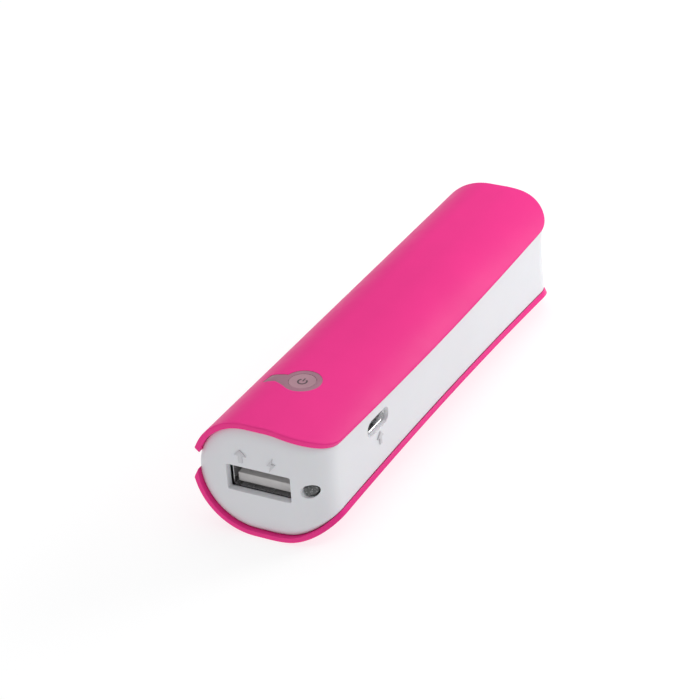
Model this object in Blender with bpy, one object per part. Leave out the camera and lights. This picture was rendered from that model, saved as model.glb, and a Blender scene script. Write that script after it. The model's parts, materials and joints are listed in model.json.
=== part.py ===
"""A pocket power bank: one round lithium cell behind a small charging board, in a white two-piece
housing that is clad above and below with curved covers.

Design coordinates: x to the right from the axis of the rounded left side, y back from the front face,
z up from the middle plane. Everything hangs from an empty that puts the centre of the overall
footprint at the world's origin, with the bottom cover standing on z = 0.
"""

import math

import bmesh
import bpy
from mathutils import Matrix, Vector

MM = 0.001

# Overall form
LENGTH = 101.65 * MM
ROUND_RADIUS = 10.93 * MM
FLAT_WIDTH = 3.6 * MM
SHOULDER_RADIUS = 19.3 * MM
SECTION_END_X = 17 * MM
SAG_START_X = 6 * MM
SAG_AT_ENDS = 0.10 * MM
SAG_BOW = 1.45 * MM
SIDE_X = 14.65 * MM
CORNER_RADIUS = 7.5 * MM
GAP = 0.3 * MM
STATIONS = 12

# Covers
COVER_OUT = 1.18 * MM
COVER_PROUD = 0.59 * MM
COVER_SIDE_X = 15.43 * MM
COVER_CORNER_RADIUS = 8.45 * MM
COVER_LIP_Z = 6.95 * MM
COVER_LIP_BOW = 1.0 * MM
TOP_COVER_ENDS = (18.9, 21.0)
BOTTOM_COVER_ENDS = (0.4, 9.3)

# Housing
WALL = 1.4 * MM
PARTING_Z = 3.7 * MM
LID_REBATE = 0.25 * MM
RIB_YS = (46 * MM, 65 * MM, 84 * MM)

# Button and indicator window
BUTTON_X, BUTTON_Y = 2.4 * MM, 16.85 * MM
HEAD_RADIUS = 3.75 * MM
HEAD_LOW_ANGLE = -127
TAIL_Y = (15.3 * MM, 18.0 * MM)
TAIL_CORNERS_X = (-4.8 * MM, -4.4 * MM)
TAIL_CORNER_RADIUS = 0.6 * MM
WAIST_X = -2.6 * MM
STATUS_X, STATUS_Y = -4.0 * MM, 16.7 * MM
BUTTON_RADIUS = 2.6 * MM
BUTTON_TOP_Z = 11.88 * MM
BUTTON_FOOT_Z = 8.9 * MM

# Board and connectors
BOARD_Z = (0.2 * MM, 1.2 * MM)
PLACED_Z = BOARD_Z[1] + GAP
USB_A_X, USB_A_Z = 1.55 * MM, -0.55 * MM
USB_A_Y = (1.9 * MM, 13.3 * MM)
USB_A_SHELL = (13.1 * MM, 5.7 * MM)
USB_A_MOUTH = (13.4 * MM, 5.3 * MM)
MICRO_Y, MICRO_Z = 22.4 * MM, 2.725 * MM
MICRO_X = (8.9 * MM, 13.7 * MM)
MICRO_SHELL = (7.5 * MM, 2.45 * MM)
MICRO_MOUTH = (8.3 * MM, 3.0 * MM)
LED_X, LED_Z = 11.45 * MM, -0.68 * MM
LED_Y = (2.0 * MM, 7.1 * MM)
LED_RADIUS = 1.15 * MM
SCREW_XS = (-6.4 * MM, 8.4 * MM)
SCREW_Y = 28.2 * MM
BULKHEAD_Y = (30.4 * MM, 31.4 * MM)

# Cell
CELL_X = 1.8 * MM
CAN_RADIUS = 8.7 * MM
CAN_Y = (32.9 * MM, 97.4 * MM)
WIRE_RADIUS = 0.5 * MM

FAR = 20 * MM
LEFT_X = -(ROUND_RADIUS + COVER_OUT) * math.cos(math.radians(BOTTOM_COVER_ENDS[1]))
MIDDLE_X = (LEFT_X + COVER_SIDE_X) / 2


def mm(*values):
    """The values in metres."""
    return tuple(value * MM for value in values)


# ---------------------------------------------------------------- scene and materials


def clear_scene():
    for obj in list(bpy.data.objects):
        bpy.data.objects.remove(obj, do_unlink=True)


def make_datum():
    """The empty that carries the design coordinates."""
    datum = bpy.data.objects.new("datum", None)
    datum.location = (-MIDDLE_X, -LENGTH / 2, ROUND_RADIUS + COVER_OUT)
    bpy.context.scene.collection.objects.link(datum)
    return datum


def material(name, colour, roughness, metallic=0.0, alpha=1.0):
    made = bpy.data.materials.new(name)
    made.use_nodes = True
    shader = made.node_tree.nodes["Principled BSDF"]
    shader.inputs["Base Color"].default_value = (*colour, 1.0)
    shader.inputs["Roughness"].default_value = roughness
    shader.inputs["Metallic"].default_value = metallic
    shader.inputs["Alpha"].default_value = alpha
    return made


clear_scene()
DATUM = make_datum()
PINK = material("pink_cover", (0.86, 0.06, 0.29), 0.45)
WHITE = material("white_housing", (0.80, 0.80, 0.83), 0.40)
SMOKE = material("smoked_plastic", (0.33, 0.19, 0.22), 0.30, alpha=0.9)
BUTTON_GREY = material("button_plastic", (0.36, 0.25, 0.27), 0.35)
GREEN = material("board_laminate", (0.02, 0.20, 0.08), 0.50)
STEEL = material("plated_steel", (0.62, 0.62, 0.64), 0.30, 1.0)
NICKEL = material("nickel_strip", (0.68, 0.66, 0.62), 0.35, 1.0)
GOLD = material("contact_plating", (0.85, 0.62, 0.28), 0.30, 1.0)
BLACK = material("black_plastic", (0.02, 0.02, 0.022), 0.50)
GREY = material("grey_plastic", (0.36, 0.35, 0.36), 0.50)
IVORY = material("ivory_plastic", (0.78, 0.76, 0.70), 0.50)
WRAP = material("cell_wrap_film", (0.04, 0.20, 0.42), 0.35)
COPPER = material("electrode_roll", (0.42, 0.25, 0.16), 0.60, 0.5)
CERAMIC = material("ceramic_brown", (0.42, 0.29, 0.18), 0.50)
FERRITE = material("ferrite_grey", (0.07, 0.07, 0.08), 0.70)
RED = material("red_insulation", (0.60, 0.03, 0.03), 0.45)
DARK = material("black_insulation", (0.03, 0.03, 0.03), 0.45)
FOAM = material("foam", (0.10, 0.10, 0.11), 0.90)
CLEAR = material("led_epoxy", (0.62, 0.62, 0.64), 0.15)


# ---------------------------------------------------------------- solids


def add(name, mesh, look=None, location=(0, 0, 0)):
    """A linked object; without a look it is a helper that no build keeps."""
    bm = bmesh.new()
    bm.from_mesh(mesh)
    bmesh.ops.recalc_face_normals(bm, faces=bm.faces)
    bm.to_mesh(mesh)
    bm.free()
    obj = bpy.data.objects.new(name, mesh)
    obj.location = location
    obj.parent = DATUM
    bpy.context.scene.collection.objects.link(obj)
    if look is None:
        obj.hide_render = True
        obj.display_type = "WIRE"
        return obj
    mesh.materials.append(look)
    mesh.shade_smooth()
    mesh.set_sharp_from_angle(angle=math.radians(35))
    return obj


def loft(name, rings, look=None, location=(0, 0, 0), closed=False):
    """Skins equal rings of points. A closed loft joins the last ring to the first, an open one is capped."""
    bm = bmesh.new()
    verts = [[bm.verts.new(point) for point in ring] for ring in rings]
    pairs = list(zip(verts, verts[1:]))
    if closed:
        pairs.append((verts[-1], verts[0]))
    for near, far in pairs:
        for i in range(len(near)):
            j = (i + 1) % len(near)
            bm.faces.new((near[i], near[j], far[j], far[i]))
    if not closed:
        bm.faces.new(verts[0])
        bm.faces.new(verts[-1])
    mesh = bpy.data.meshes.new(name)
    bm.to_mesh(mesh)
    bm.free()
    return add(name, mesh, look, location)


def prism(name, outline, axis, low, high, look=None, location=(0, 0, 0)):
    """An outline swept from low to high along X, Y or Z; its points give the other two axes in order."""
    place = {
        "X": lambda a, b, at: (at, a, b),
        "Y": lambda a, b, at: (a, at, b),
        "Z": lambda a, b, at: (a, b, at),
    }[axis]
    rings = [[place(a, b, at) for a, b in outline] for at in (low, high)]
    return loft(name, rings, look, location)


def box(name, low, high, look=None):
    outline = [(low[0], low[1]), (high[0], low[1]), (high[0], high[1]), (low[0], high[1])]
    return prism(name, outline, "Z", low[2], high[2], look)


def turned(name, profile, look=None, location=(0, 0, 0), axis="Z", sides=24, ring=False):
    """Turns (radius, height) points about the axis. A ring profile closes on itself, clear of the axis."""
    turn = {"Y": Matrix.Rotation(-math.pi / 2, 3, "X"), "Z": Matrix.Identity(3)}[axis]
    rings = []
    for i in range(sides):
        angle = math.tau * i / sides
        rings.append([turn @ Vector((r * math.cos(angle), r * math.sin(angle), h)) for r, h in profile])
    obj = loft(name, rings, look, location, closed=True) if ring else None
    if obj is None:
        columns = list(zip(*rings))
        obj = loft(name, columns, look, location)
    return obj


def boolean(obj, other, operation):
    step = obj.modifiers.new(other.name, "BOOLEAN")
    step.operation = operation
    step.object = other
    step.solver = "EXACT"
    return obj


def cut(obj, *cutters):
    for cutter in cutters:
        boolean(obj, cutter, "DIFFERENCE")
    return obj


def keep(obj, *regions):
    for region in regions:
        boolean(obj, region, "INTERSECT")
    return obj


def join(obj, *others):
    for other in others:
        boolean(obj, other, "UNION")
    return obj


# ---------------------------------------------------------------- outlines


def arc(centre, radius, start, end, steps):
    """Points along an arc, angles in degrees, both ends included."""
    points = []
    for i in range(steps + 1):
        angle = math.radians(start + (end - start) * i / steps)
        points.append((centre[0] + radius * math.cos(angle), centre[1] + radius * math.sin(angle)))
    return points


def rounded(width, height, radius, centre=(0, 0), steps=4):
    """A rectangle with round corners."""
    points = []
    for sx, sy, start in ((1, 1, 0), (-1, 1, 90), (-1, -1, 180), (1, -1, 270)):
        corner = (
            centre[0] + sx * (width / 2 - radius),
            centre[1] + sy * (height / 2 - radius),
        )
        points += arc(corner, radius, start, start + 90, steps)
    return points


def bow(y):
    """1 in the middle of the length, falling to 0 at both ends."""
    along = min(1, abs(2 * y / LENGTH - 1))
    return 1 - along**2


def sag(x, y):
    """How far the right shoulder falls below its round, most at the right edge of the middle."""
    across = max(0, (x - SAG_START_X) / (COVER_SIDE_X - SAG_START_X))
    return (SAG_AT_ENDS + SAG_BOW * bow(y)) * across**2


def shoulder_angle(x, offset):
    return math.degrees(math.acos((x - FLAT_WIDTH) / (SHOULDER_RADIUS + offset)))


def upper_path(y, offset, left_angle, right_x, steps=9):
    """The upper half of the section at y, from the left end round to right_x, in x and z."""
    centre = (FLAT_WIDTH, ROUND_RADIUS - SHOULDER_RADIUS)
    left = arc((0, 0), ROUND_RADIUS + offset, 180 - left_angle, 90, steps)
    right = arc(centre, SHOULDER_RADIUS + offset, 90, shoulder_angle(right_x, offset), steps)
    return left + [(x, z - sag(x, y)) for x, z in right]


def section_ring(y, offset):
    """The whole section at y: round at the left, and cut off upright beyond the right wall."""
    upper = upper_path(y, offset, 0, SECTION_END_X)
    lower = [(x, -z) for x, z in reversed(upper[1:])]
    return [(x, y, z) for x, z in upper + lower]


def plan(side_x, front, back, radius, steps=8):
    """Plan outline: open-ended at the left, with round corners at the right."""
    front_corner = arc((side_x - radius, front + radius), radius, -90, 0, steps)
    back_corner = arc((side_x - radius, back - radius), radius, 0, 90, steps)
    return [(-FAR, front)] + front_corner + back_corner + [(-FAR, back)]


def stations(low_y, high_y):
    """Places along the length, from low_y to high_y."""
    inside = [LENGTH * i / STATIONS for i in range(STATIONS + 1)]
    return [low_y] + [y for y in inside if low_y < y < high_y] + [high_y]


def solid_section(name, offset, low_y=-FAR, high_y=LENGTH + FAR, look=None):
    return loft(name, [section_ring(y, offset) for y in stations(low_y, high_y)], look)


def teardrop(grow):
    """Plan outline of the window: a round head with a short blunt tail to the left."""
    reach = HEAD_RADIUS + grow
    corner = TAIL_CORNER_RADIUS + grow
    low_corner = (TAIL_CORNERS_X[0], TAIL_Y[0] + TAIL_CORNER_RADIUS)
    high_corner = (TAIL_CORNERS_X[1], TAIL_Y[1] - TAIL_CORNER_RADIUS)
    meeting = math.degrees(math.asin((TAIL_Y[1] + grow - BUTTON_Y) / reach))
    return (
        arc((BUTTON_X, BUTTON_Y), reach, 180 - meeting, HEAD_LOW_ANGLE, 20)
        + [(WAIST_X, TAIL_Y[0] - grow)]
        + arc(low_corner, corner, 270, 195, 4)
        + arc(high_corner, corner, 160, 90, 4)
    )


# ---------------------------------------------------------------- housing


def make_housing_shell(name, look):
    """The closed white shell, before it is parted into a tub and a lid."""
    shell = solid_section(name, 0, look=look)
    keep(shell, prism(name + "_plan", plan(SIDE_X, 0, LENGTH, CORNER_RADIUS), "Z", -FAR, FAR))
    hollow = solid_section(name + "_hollow", -WALL)
    inner = plan(SIDE_X - WALL, WALL, LENGTH - WALL, CORNER_RADIUS - WALL)
    keep(hollow, prism(name + "_hollow_plan", inner, "Z", -FAR, FAR))
    return cut(shell, hollow)


def lid_space(name, low_z, inset):
    """The space inside the upright walls and above the parting height, where the lid goes."""
    wall = WALL - LID_REBATE + inset
    outline = plan(SIDE_X - wall, wall, LENGTH - wall, CORNER_RADIUS - wall)
    return prism(name, outline, "Z", low_z, FAR)


def make_housing_base():
    base = make_housing_shell("housing_base", WHITE)
    cut(base, lid_space("base_opening", PARTING_Z, 0))
    usb_a = rounded(*USB_A_MOUTH, 0.7 * MM, (USB_A_X, USB_A_Z))
    cut(base, prism("usb_a_mouth", usb_a, "Y", -2 * MM, 3 * MM))
    micro = rounded(*MICRO_MOUTH, 1.3 * MM, (MICRO_Y, MICRO_Z))
    cut(base, prism("micro_usb_mouth", micro, "X", 11 * MM, FAR))
    led = arc((LED_X, LED_Z), LED_RADIUS + 0.25 * MM, 0, 345, 23)
    cut(base, prism("led_hole", led, "Y", -2 * MM, 6 * MM))
    for i, y in enumerate(RIB_YS):
        low = (11.4 * MM, y, -3 * MM)
        high = (SIDE_X - WALL + 0.5 * MM, y + 1.2 * MM, 1 * MM)
        join(base, box(f"cell_rib_{i + 1}", low, high))
    return base


def make_housing_lid():
    lid = make_housing_shell("housing_lid", WHITE)
    keep(lid, lid_space("lid_region", PARTING_Z + GAP, GAP))
    pocket = prism("window_pocket", teardrop(0.7 * MM), "Z", 5 * MM, FAR)
    cut(pocket, solid_section("pocket_floor", -0.65 * MM))
    cut(lid, pocket)
    place = (BUTTON_X, BUTTON_Y, 0)
    cut(lid, prism("button_well", arc((0, 0), 3.4 * MM, 0, 345, 23), "Z", 5 * MM, FAR, location=place))
    light = arc((STATUS_X, STATUS_Y), 0.9 * MM, 0, 330, 11)
    cut(lid, prism("light_hole", light, "Z", 5 * MM, FAR))
    return lid


# ---------------------------------------------------------------- covers


def cover_ring(y, ends, side):
    """Section of one cover at y. side is 1 above and -1 below; ends are its inner and outer left angles."""
    inner_x = SIDE_X + GAP
    lip_z = COVER_LIP_Z - COVER_LIP_BOW * bow(y)
    outer = upper_path(y, COVER_OUT, ends[1], COVER_SIDE_X + 0.15 * MM)
    inner = upper_path(y, GAP, ends[0], inner_x)
    ring = outer + [(inner_x, lip_z)] + inner[::-1]
    return [(x, y, side * z) for x, z in ring]


def make_cover(name, ends, side):
    ys = stations(-2 * MM, LENGTH + 2 * MM)
    cover = loft(name, [cover_ring(y, ends, side) for y in ys], PINK)
    outline = plan(COVER_SIDE_X, -COVER_PROUD, LENGTH + COVER_PROUD, COVER_CORNER_RADIUS)
    return keep(cover, prism(name + "_plan", outline, "Z", -FAR, FAR))


def make_covers():
    top = make_cover("top_cover", TOP_COVER_ENDS, 1)
    cut(top, prism("window_opening", teardrop(0), "Z", 5 * MM, FAR))
    make_cover("bottom_cover", BOTTOM_COVER_ENDS, -1)


# ---------------------------------------------------------------- button, window and switch


def make_window():
    """Smoked insert round the button, with a flange that the top cover holds down."""
    window = prism("indicator_window", teardrop(-0.2 * MM), "Z", 5 * MM, FAR, SMOKE)
    keep(window, solid_section("window_surface", COVER_OUT - 0.25 * MM))
    flange = prism("window_flange", teardrop(0.4 * MM), "Z", 5 * MM, FAR)
    keep(flange, solid_section("flange_surface", 0))
    join(window, flange)
    cut(window, solid_section("window_underside", -0.35 * MM))
    place = (BUTTON_X, BUTTON_Y, 0)
    hole = arc((0, 0), BUTTON_RADIUS + 0.25 * MM, 0, 345, 23)
    cut(window, prism("button_hole", hole, "Z", 5 * MM, FAR, location=place))


def make_button():
    """Round button: a cap, a flange that stops under the window, and a plunger for the switch."""
    flange_z = 10.28 * MM - BUTTON_FOOT_Z
    top_z = BUTTON_TOP_Z - BUTTON_FOOT_Z
    profile = [
        (1.4 * MM, 0),
        (1.4 * MM, flange_z - 0.6 * MM),
        (3.1 * MM, flange_z - 0.6 * MM),
        (3.1 * MM, flange_z),
        (BUTTON_RADIUS, flange_z),
        (BUTTON_RADIUS, top_z - 0.2 * MM),
        (BUTTON_RADIUS - 0.2 * MM, top_z),
    ]
    turned("power_button", profile, BUTTON_GREY, (BUTTON_X, BUTTON_Y, BUTTON_FOOT_Z))


def square(half, low, high, name, look=None):
    outline = rounded(2 * half, 2 * half, 0.4 * MM, steps=2)
    return prism(name, outline, "Z", low, high, look, (BUTTON_X, BUTTON_Y, 0))


def make_switch():
    """Tactile switch under the button: body, snap dome, stem and cover plate."""
    place = (BUTTON_X, BUTTON_Y, 0)
    base = square(3 * MM, PLACED_Z, 4.0 * MM, "switch_base", BLACK)
    cut(base, prism("switch_well", arc((0, 0), 2.1 * MM, 0, 345, 23), "Z", 2 * MM, 6 * MM, location=place))
    cover = square(3.1 * MM, 4.3 * MM, 4.55 * MM, "switch_cover", STEEL)
    cut(cover, prism("stem_hole", arc((0, 0), 1.85 * MM, 0, 345, 23), "Z", 4 * MM, 5 * MM, location=place))
    dome = [mm(1.9, 2.15), mm(1.2, 2.45), mm(0.4, 2.6), mm(0.4, 2.7), mm(1.2, 2.56), mm(1.9, 2.28)]
    turned("switch_dome", dome, NICKEL, place, ring=True)
    stem = [mm(1.8, 0), mm(1.8, 0.5), mm(1.5, 0.5), mm(1.5, 5.25), mm(1.35, 5.4)]
    turned("switch_stem", stem, IVORY, (BUTTON_X, BUTTON_Y, 3.2 * MM))


# ---------------------------------------------------------------- board and connectors


def make_board():
    """Circuit board with a slot that lets the USB-A shell sit half sunk, and a notch for the front light."""
    slot = (USB_A_X - USB_A_SHELL[0] / 2 - GAP, USB_A_X + USB_A_SHELL[0] / 2 + GAP)
    slot_end = USB_A_Y[1] + GAP
    front, back = 2.2 * MM, 30.0 * MM
    outline = [
        (slot[0], front),
        (slot[0], slot_end),
        (slot[1], slot_end),
        (slot[1], front + 1.2 * MM),
        mm(9.6, 3.4),
        mm(9.6, 8.0),
        mm(12.4, 8.0),
        (12.4 * MM, back),
        (-8.9 * MM, back),
        (-8.9 * MM, front),
    ]
    board = prism("circuit_board", outline, "Z", *BOARD_Z, GREEN)
    for i, x in enumerate(SCREW_XS):
        hole = arc((x, SCREW_Y), 1.1 * MM, 0, 330, 11)
        cut(board, prism(f"board_hole_{i + 1}", hole, "Z", -1 * MM, 3 * MM))


def make_screws():
    for i, x in enumerate(SCREW_XS):
        profile = [mm(0.75, 0), mm(0.75, 3.6), mm(1.6, 3.6), mm(1.6, 4.2), mm(1.2, 4.6)]
        turned(f"board_screw_{i + 1}", profile, STEEL, (x, SCREW_Y, -2.1 * MM), sides=12)


def make_usb_a():
    """Charging output: a drawn shell, a moulded tongue low in the mouth and four contact strips."""
    width, height = USB_A_SHELL
    centre = (USB_A_X, USB_A_Z)
    shell = prism("usb_a_shell", rounded(width, height, 0.5 * MM, centre), "Y", *USB_A_Y, STEEL)
    inner = rounded(width - 0.6 * MM, height - 0.6 * MM, 0.3 * MM, centre)
    cut(shell, prism("usb_a_bore", inner, "Y", 0, USB_A_Y[1] - 0.3 * MM))
    low, high = USB_A_Z - 2.25 * MM, USB_A_Z + 2.25 * MM
    tongue = (USB_A_Z - 1.84 * MM, USB_A_Z)
    tip, root, back = 2.2 * MM, 10.3 * MM, USB_A_Y[1] - 0.6 * MM
    side = [
        (tip, tongue[0]),
        (root, tongue[0]),
        (root, low),
        (back, low),
        (back, high),
        (root, high),
        (root, tongue[1]),
        (tip, tongue[1]),
    ]
    half = 5.55 * MM
    prism("usb_a_tongue", side, "X", USB_A_X - half, USB_A_X + half, GREY)
    for i in range(4):
        x = USB_A_X + (i - 1.5) * 2.3 * MM
        contact_low = (x - 0.5 * MM, 2.9 * MM, tongue[1] + 0.1 * MM)
        contact_high = (x + 0.5 * MM, root - GAP, tongue[1] + 0.35 * MM)
        box(f"usb_a_contact_{i + 1}", contact_low, contact_high, GOLD)


def make_micro_usb():
    """Charging input: a small shell, its tongue and five contact strips."""
    width, height = MICRO_SHELL
    centre = (MICRO_Y, MICRO_Z)
    shell = prism("micro_usb_shell", rounded(width, height, 0.7 * MM, centre), "X", *MICRO_X, STEEL)
    inner = rounded(width - 0.6 * MM, height - 0.6 * MM, 0.45 * MM, centre)
    cut(shell, prism("micro_usb_bore", inner, "X", MICRO_X[0] + 0.3 * MM, FAR))
    low_x, root_x, tip_x = MICRO_X[0] + 0.6 * MM, MICRO_X[0] + 1.6 * MM, MICRO_X[1] - 0.4 * MM
    block = rounded(width - 1.2 * MM, height - 1.2 * MM, 0.3 * MM, centre, 2)
    tongue = prism("micro_usb_tongue", block, "X", low_x, root_x, BLACK)
    half_y, half_z = 1.9 * MM, 0.25 * MM
    blade_low = (root_x - 0.5 * MM, MICRO_Y - half_y, MICRO_Z - half_z)
    join(tongue, box("micro_usb_blade", blade_low, (tip_x, MICRO_Y + half_y, MICRO_Z + half_z)))
    for i in range(5):
        y = MICRO_Y + (i - 2) * 0.65 * MM
        contact_low = (root_x + 0.1 * MM, y - 0.15 * MM, MICRO_Z + half_z + 0.1 * MM)
        contact_high = (tip_x - 0.2 * MM, y + 0.15 * MM, MICRO_Z + half_z + 0.2 * MM)
        box(f"micro_usb_contact_{i + 1}", contact_low, contact_high, GOLD)


def make_lights():
    """The light in the front corner, its two legs and the indicator under the window's tail."""
    dome = [(LED_RADIUS * math.cos(a), LED_RADIUS * (1 - math.sin(a)) / 2) for a in (1.2, 0.8, 0.4, 0)]
    profile = dome + [(LED_RADIUS, LED_Y[1] - LED_Y[0])]
    turned("front_led", profile, CLEAR, (LED_X, LED_Y[0], LED_Z), axis="Y", sides=16)
    for i, shift in enumerate(mm(-0.6, 0.6)):
        low = (LED_X + shift - 0.25 * MM, 7.4 * MM, LED_Z - 0.25 * MM)
        high = (LED_X + shift + 0.25 * MM, 12.5 * MM, LED_Z + 0.25 * MM)
        box(f"front_led_leg_{i + 1}", low, high, STEEL)
    low = (STATUS_X - 0.8 * MM, STATUS_Y - 0.4 * MM, PLACED_Z)
    high = (STATUS_X + 0.8 * MM, STATUS_Y + 0.4 * MM, PLACED_Z + 0.8 * MM)
    box("status_led", low, high, IVORY)


def chip(name, x, y, size, look):
    """A board component of the given width, depth and height."""
    low = (x - size[0] / 2, y - size[1] / 2, PLACED_Z)
    high = (x + size[0] / 2, y + size[1] / 2, PLACED_Z + size[2])
    return box(name, low, high, look)


def make_components():
    chip("charger_chip", *mm(-6.2, 20.8), mm(3.9, 4.9, 1.5), BLACK)
    chip("boost_chip", *mm(4.2, 23.0), mm(3.9, 4.9, 1.5), BLACK)
    coil = rounded(*mm(5.6, 5.6, 1.2), mm(-1.1, 24.5), 3)
    prism("inductor", coil, "Z", PLACED_Z, PLACED_Z + 3 * MM, FERRITE)
    places = (mm(-7.2, 11.0), mm(-7.2, 24.8), mm(5.0, 27.5))
    for i, (x, y) in enumerate(places):
        chip(f"capacitor_{i + 1}", x, y, mm(3.0, 1.6, 1.2), CERAMIC)


def make_bulkhead():
    """Divider between board and cell; its two brackets carry the board, and it lets the leads past."""
    bulkhead = solid_section("bulkhead", -WALL - 0.4 * MM, *BULKHEAD_Y, IVORY)
    low = (-FAR, BULKHEAD_Y[0] - MM, -FAR)
    keep(bulkhead, box("bulkhead_width", low, (SIDE_X - WALL - 0.4 * MM, BULKHEAD_Y[1] + MM, FAR)))
    for i, x in enumerate(SCREW_XS):
        bracket_low = (x - 2 * MM, SCREW_Y - 2.2 * MM, -2.6 * MM)
        bracket_high = (x + 2 * MM, BULKHEAD_Y[0] + 0.5 * MM, BOARD_Z[0] - GAP)
        join(bulkhead, box(f"board_bracket_{i + 1}", bracket_low, bracket_high))
        hole = arc((x, SCREW_Y), 1.05 * MM, 0, 330, 11)
        cut(bulkhead, prism(f"bracket_hole_{i + 1}", hole, "Z", -FAR, FAR / 10))
    passages = (((0.7, 3.9), (2.9, 6.2)), ((10.3, 3.2), (16.0, 5.4)))
    for i, (first, last) in enumerate(passages):
        passage_low = (first[0] * MM, BULKHEAD_Y[0] - MM, first[1] * MM)
        passage_high = (last[0] * MM, BULKHEAD_Y[1] + MM, last[1] * MM)
        cut(bulkhead, box(f"lead_passage_{i + 1}", passage_low, passage_high))


# ---------------------------------------------------------------- cell and leads


def make_cell():
    """A round lithium cell: can, wound electrodes, seal, positive cap, end ring and outer film."""
    front, back = CAN_Y
    place = (CELL_X, 0, 0)
    wall = 0.4 * MM
    inner = CAN_RADIUS - wall
    can = turned("cell_can", [(CAN_RADIUS, front), (CAN_RADIUS, back)], STEEL, place, "Y", 32)
    cut(can, turned("can_bore", [(inner, front - MM), (inner, back - wall)], None, place, "Y", 32))
    roll = [(inner - GAP, front + 2.1 * MM), (inner - GAP, back - wall - GAP)]
    turned("cell_winding", roll, COPPER, place, "Y", 32)
    seal = [(7.2, 0.2), (8.0, 0.2), (8.0, 1.8), (7.2, 1.8)]
    seal = [(r * MM, front + h * MM) for r, h in seal]
    turned("cell_seal", seal, BLACK, place, "Y", 32, ring=True)
    cap = [(3.0, -0.5), (3.2, -0.3), (3.2, 0.6), (6.9, 0.6), (6.9, 1.7)]
    turned("cell_positive_cap", [(r * MM, front + h * MM) for r, h in cap], NICKEL, place, "Y")
    end_ring = [(3.6, -0.5), (8.5, -0.5), (8.5, -0.3), (3.6, -0.3)]
    turned("cell_end_ring", [(r * MM, front + h * MM) for r, h in end_ring], IVORY, place, "Y", ring=True)
    film = [(9.0, front), (9.2, front), (9.2, back), (9.0, back)]
    turned("cell_film", [(r * MM, y) for r, y in film], WRAP, place, "Y", 32, ring=True)


def make_tabs():
    front, back = CAN_Y
    low_y = front - 1.0 * MM
    box("positive_tab", (-0.7 * MM, low_y, -2 * MM), (4.3 * MM, low_y + 0.15 * MM, 6 * MM), NICKEL)
    back_y = back + GAP
    box("negative_tab", (-1.2 * MM, back_y, -2.5 * MM), (7.0 * MM, back_y + 0.15 * MM, 2.5 * MM), NICKEL)


def lead(name, route, look):
    """An insulated wire along a smooth route."""
    curve = bpy.data.curves.new(name, "CURVE")
    curve.dimensions = "3D"
    curve.bevel_depth = WIRE_RADIUS
    curve.bevel_resolution = 1
    curve.use_fill_caps = True
    spline = curve.splines.new("POLY")
    spline.points.add(len(route) - 1)
    for point, place in zip(spline.points, route):
        point.co = (*mm(*place), 1)
    curve.materials.append(look)
    obj = bpy.data.objects.new(name, curve)
    obj.parent = DATUM
    bpy.context.scene.collection.objects.link(obj)


def make_leads():
    positive = [(1.8, 31.5, 5), (1.8, 29.6, 5), (1.8, 28.9, 4.6), (1.8, 28.6, 3.9), (1.8, 28.6, 1.6)]
    lead("positive_lead", positive, RED)
    negative = [
        (7.6, 98.8, 4.2),
        (9.0, 98.7, 4.2),
        (10.3, 98.3, 4.2),
        (11.2, 97.2, 4.2),
        (11.6, 94.5, 4.2),
        (11.6, 34, 4.2),
        (11.5, 30, 4.2),
        (11.4, 28.8, 3.8),
        (11.3, 28.2, 3.0),
        (11.3, 28.1, 1.6),
    ]
    lead("negative_lead", negative, DARK)


def make_foam_pad():
    low_y = CAN_Y[1] + 0.8 * MM
    profile = [(7 * MM, low_y), (7 * MM, LENGTH - WALL - GAP)]
    turned("foam_pad", profile, FOAM, (CELL_X - 2 * MM, 0, 0), "Y")


make_housing_base()
make_housing_lid()
make_covers()
make_window()
make_button()
make_switch()
make_board()
make_screws()
make_usb_a()
make_micro_usb()
make_lights()
make_components()
make_bulkhead()
make_cell()
make_tabs()
make_leads()
make_foam_pad()
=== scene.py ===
"""Looks of the pocket power bank: fine skins for the housing, covers, window, button and sockets, a
procedural material for every piece, and a plain white studio.

Shapes are worked out in design millimetres: x to the right from the axis of the rounded left side, y
back from the front face, z up from the middle plane. Girth is the place across the section: it is an
arc length, below zero, on the rounded left side, and x to the right of the crown.
"""

import json
import math

import bmesh
import bpy
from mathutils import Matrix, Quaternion, Vector


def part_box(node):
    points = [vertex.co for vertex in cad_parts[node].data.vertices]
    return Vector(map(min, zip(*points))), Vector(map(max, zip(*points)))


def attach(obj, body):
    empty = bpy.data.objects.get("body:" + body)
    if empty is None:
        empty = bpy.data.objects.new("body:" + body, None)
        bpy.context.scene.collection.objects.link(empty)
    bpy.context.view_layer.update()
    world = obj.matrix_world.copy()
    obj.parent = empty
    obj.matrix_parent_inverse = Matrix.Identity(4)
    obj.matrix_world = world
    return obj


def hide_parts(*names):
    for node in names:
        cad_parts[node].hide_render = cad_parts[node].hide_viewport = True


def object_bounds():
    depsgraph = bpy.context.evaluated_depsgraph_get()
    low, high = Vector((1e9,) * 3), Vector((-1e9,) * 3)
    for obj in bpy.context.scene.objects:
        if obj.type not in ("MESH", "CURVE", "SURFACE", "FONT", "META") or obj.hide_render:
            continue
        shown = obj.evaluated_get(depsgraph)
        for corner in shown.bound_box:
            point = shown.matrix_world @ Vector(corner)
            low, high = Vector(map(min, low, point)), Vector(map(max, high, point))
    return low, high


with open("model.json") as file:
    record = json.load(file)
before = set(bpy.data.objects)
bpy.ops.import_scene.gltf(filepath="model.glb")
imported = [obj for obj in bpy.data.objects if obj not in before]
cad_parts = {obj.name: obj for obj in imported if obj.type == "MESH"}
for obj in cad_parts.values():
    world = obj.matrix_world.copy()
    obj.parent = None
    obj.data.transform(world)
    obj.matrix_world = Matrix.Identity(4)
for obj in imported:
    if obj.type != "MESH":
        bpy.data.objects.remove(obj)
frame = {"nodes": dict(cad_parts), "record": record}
CAD_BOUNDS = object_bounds()
NODES = frame["nodes"]
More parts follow.
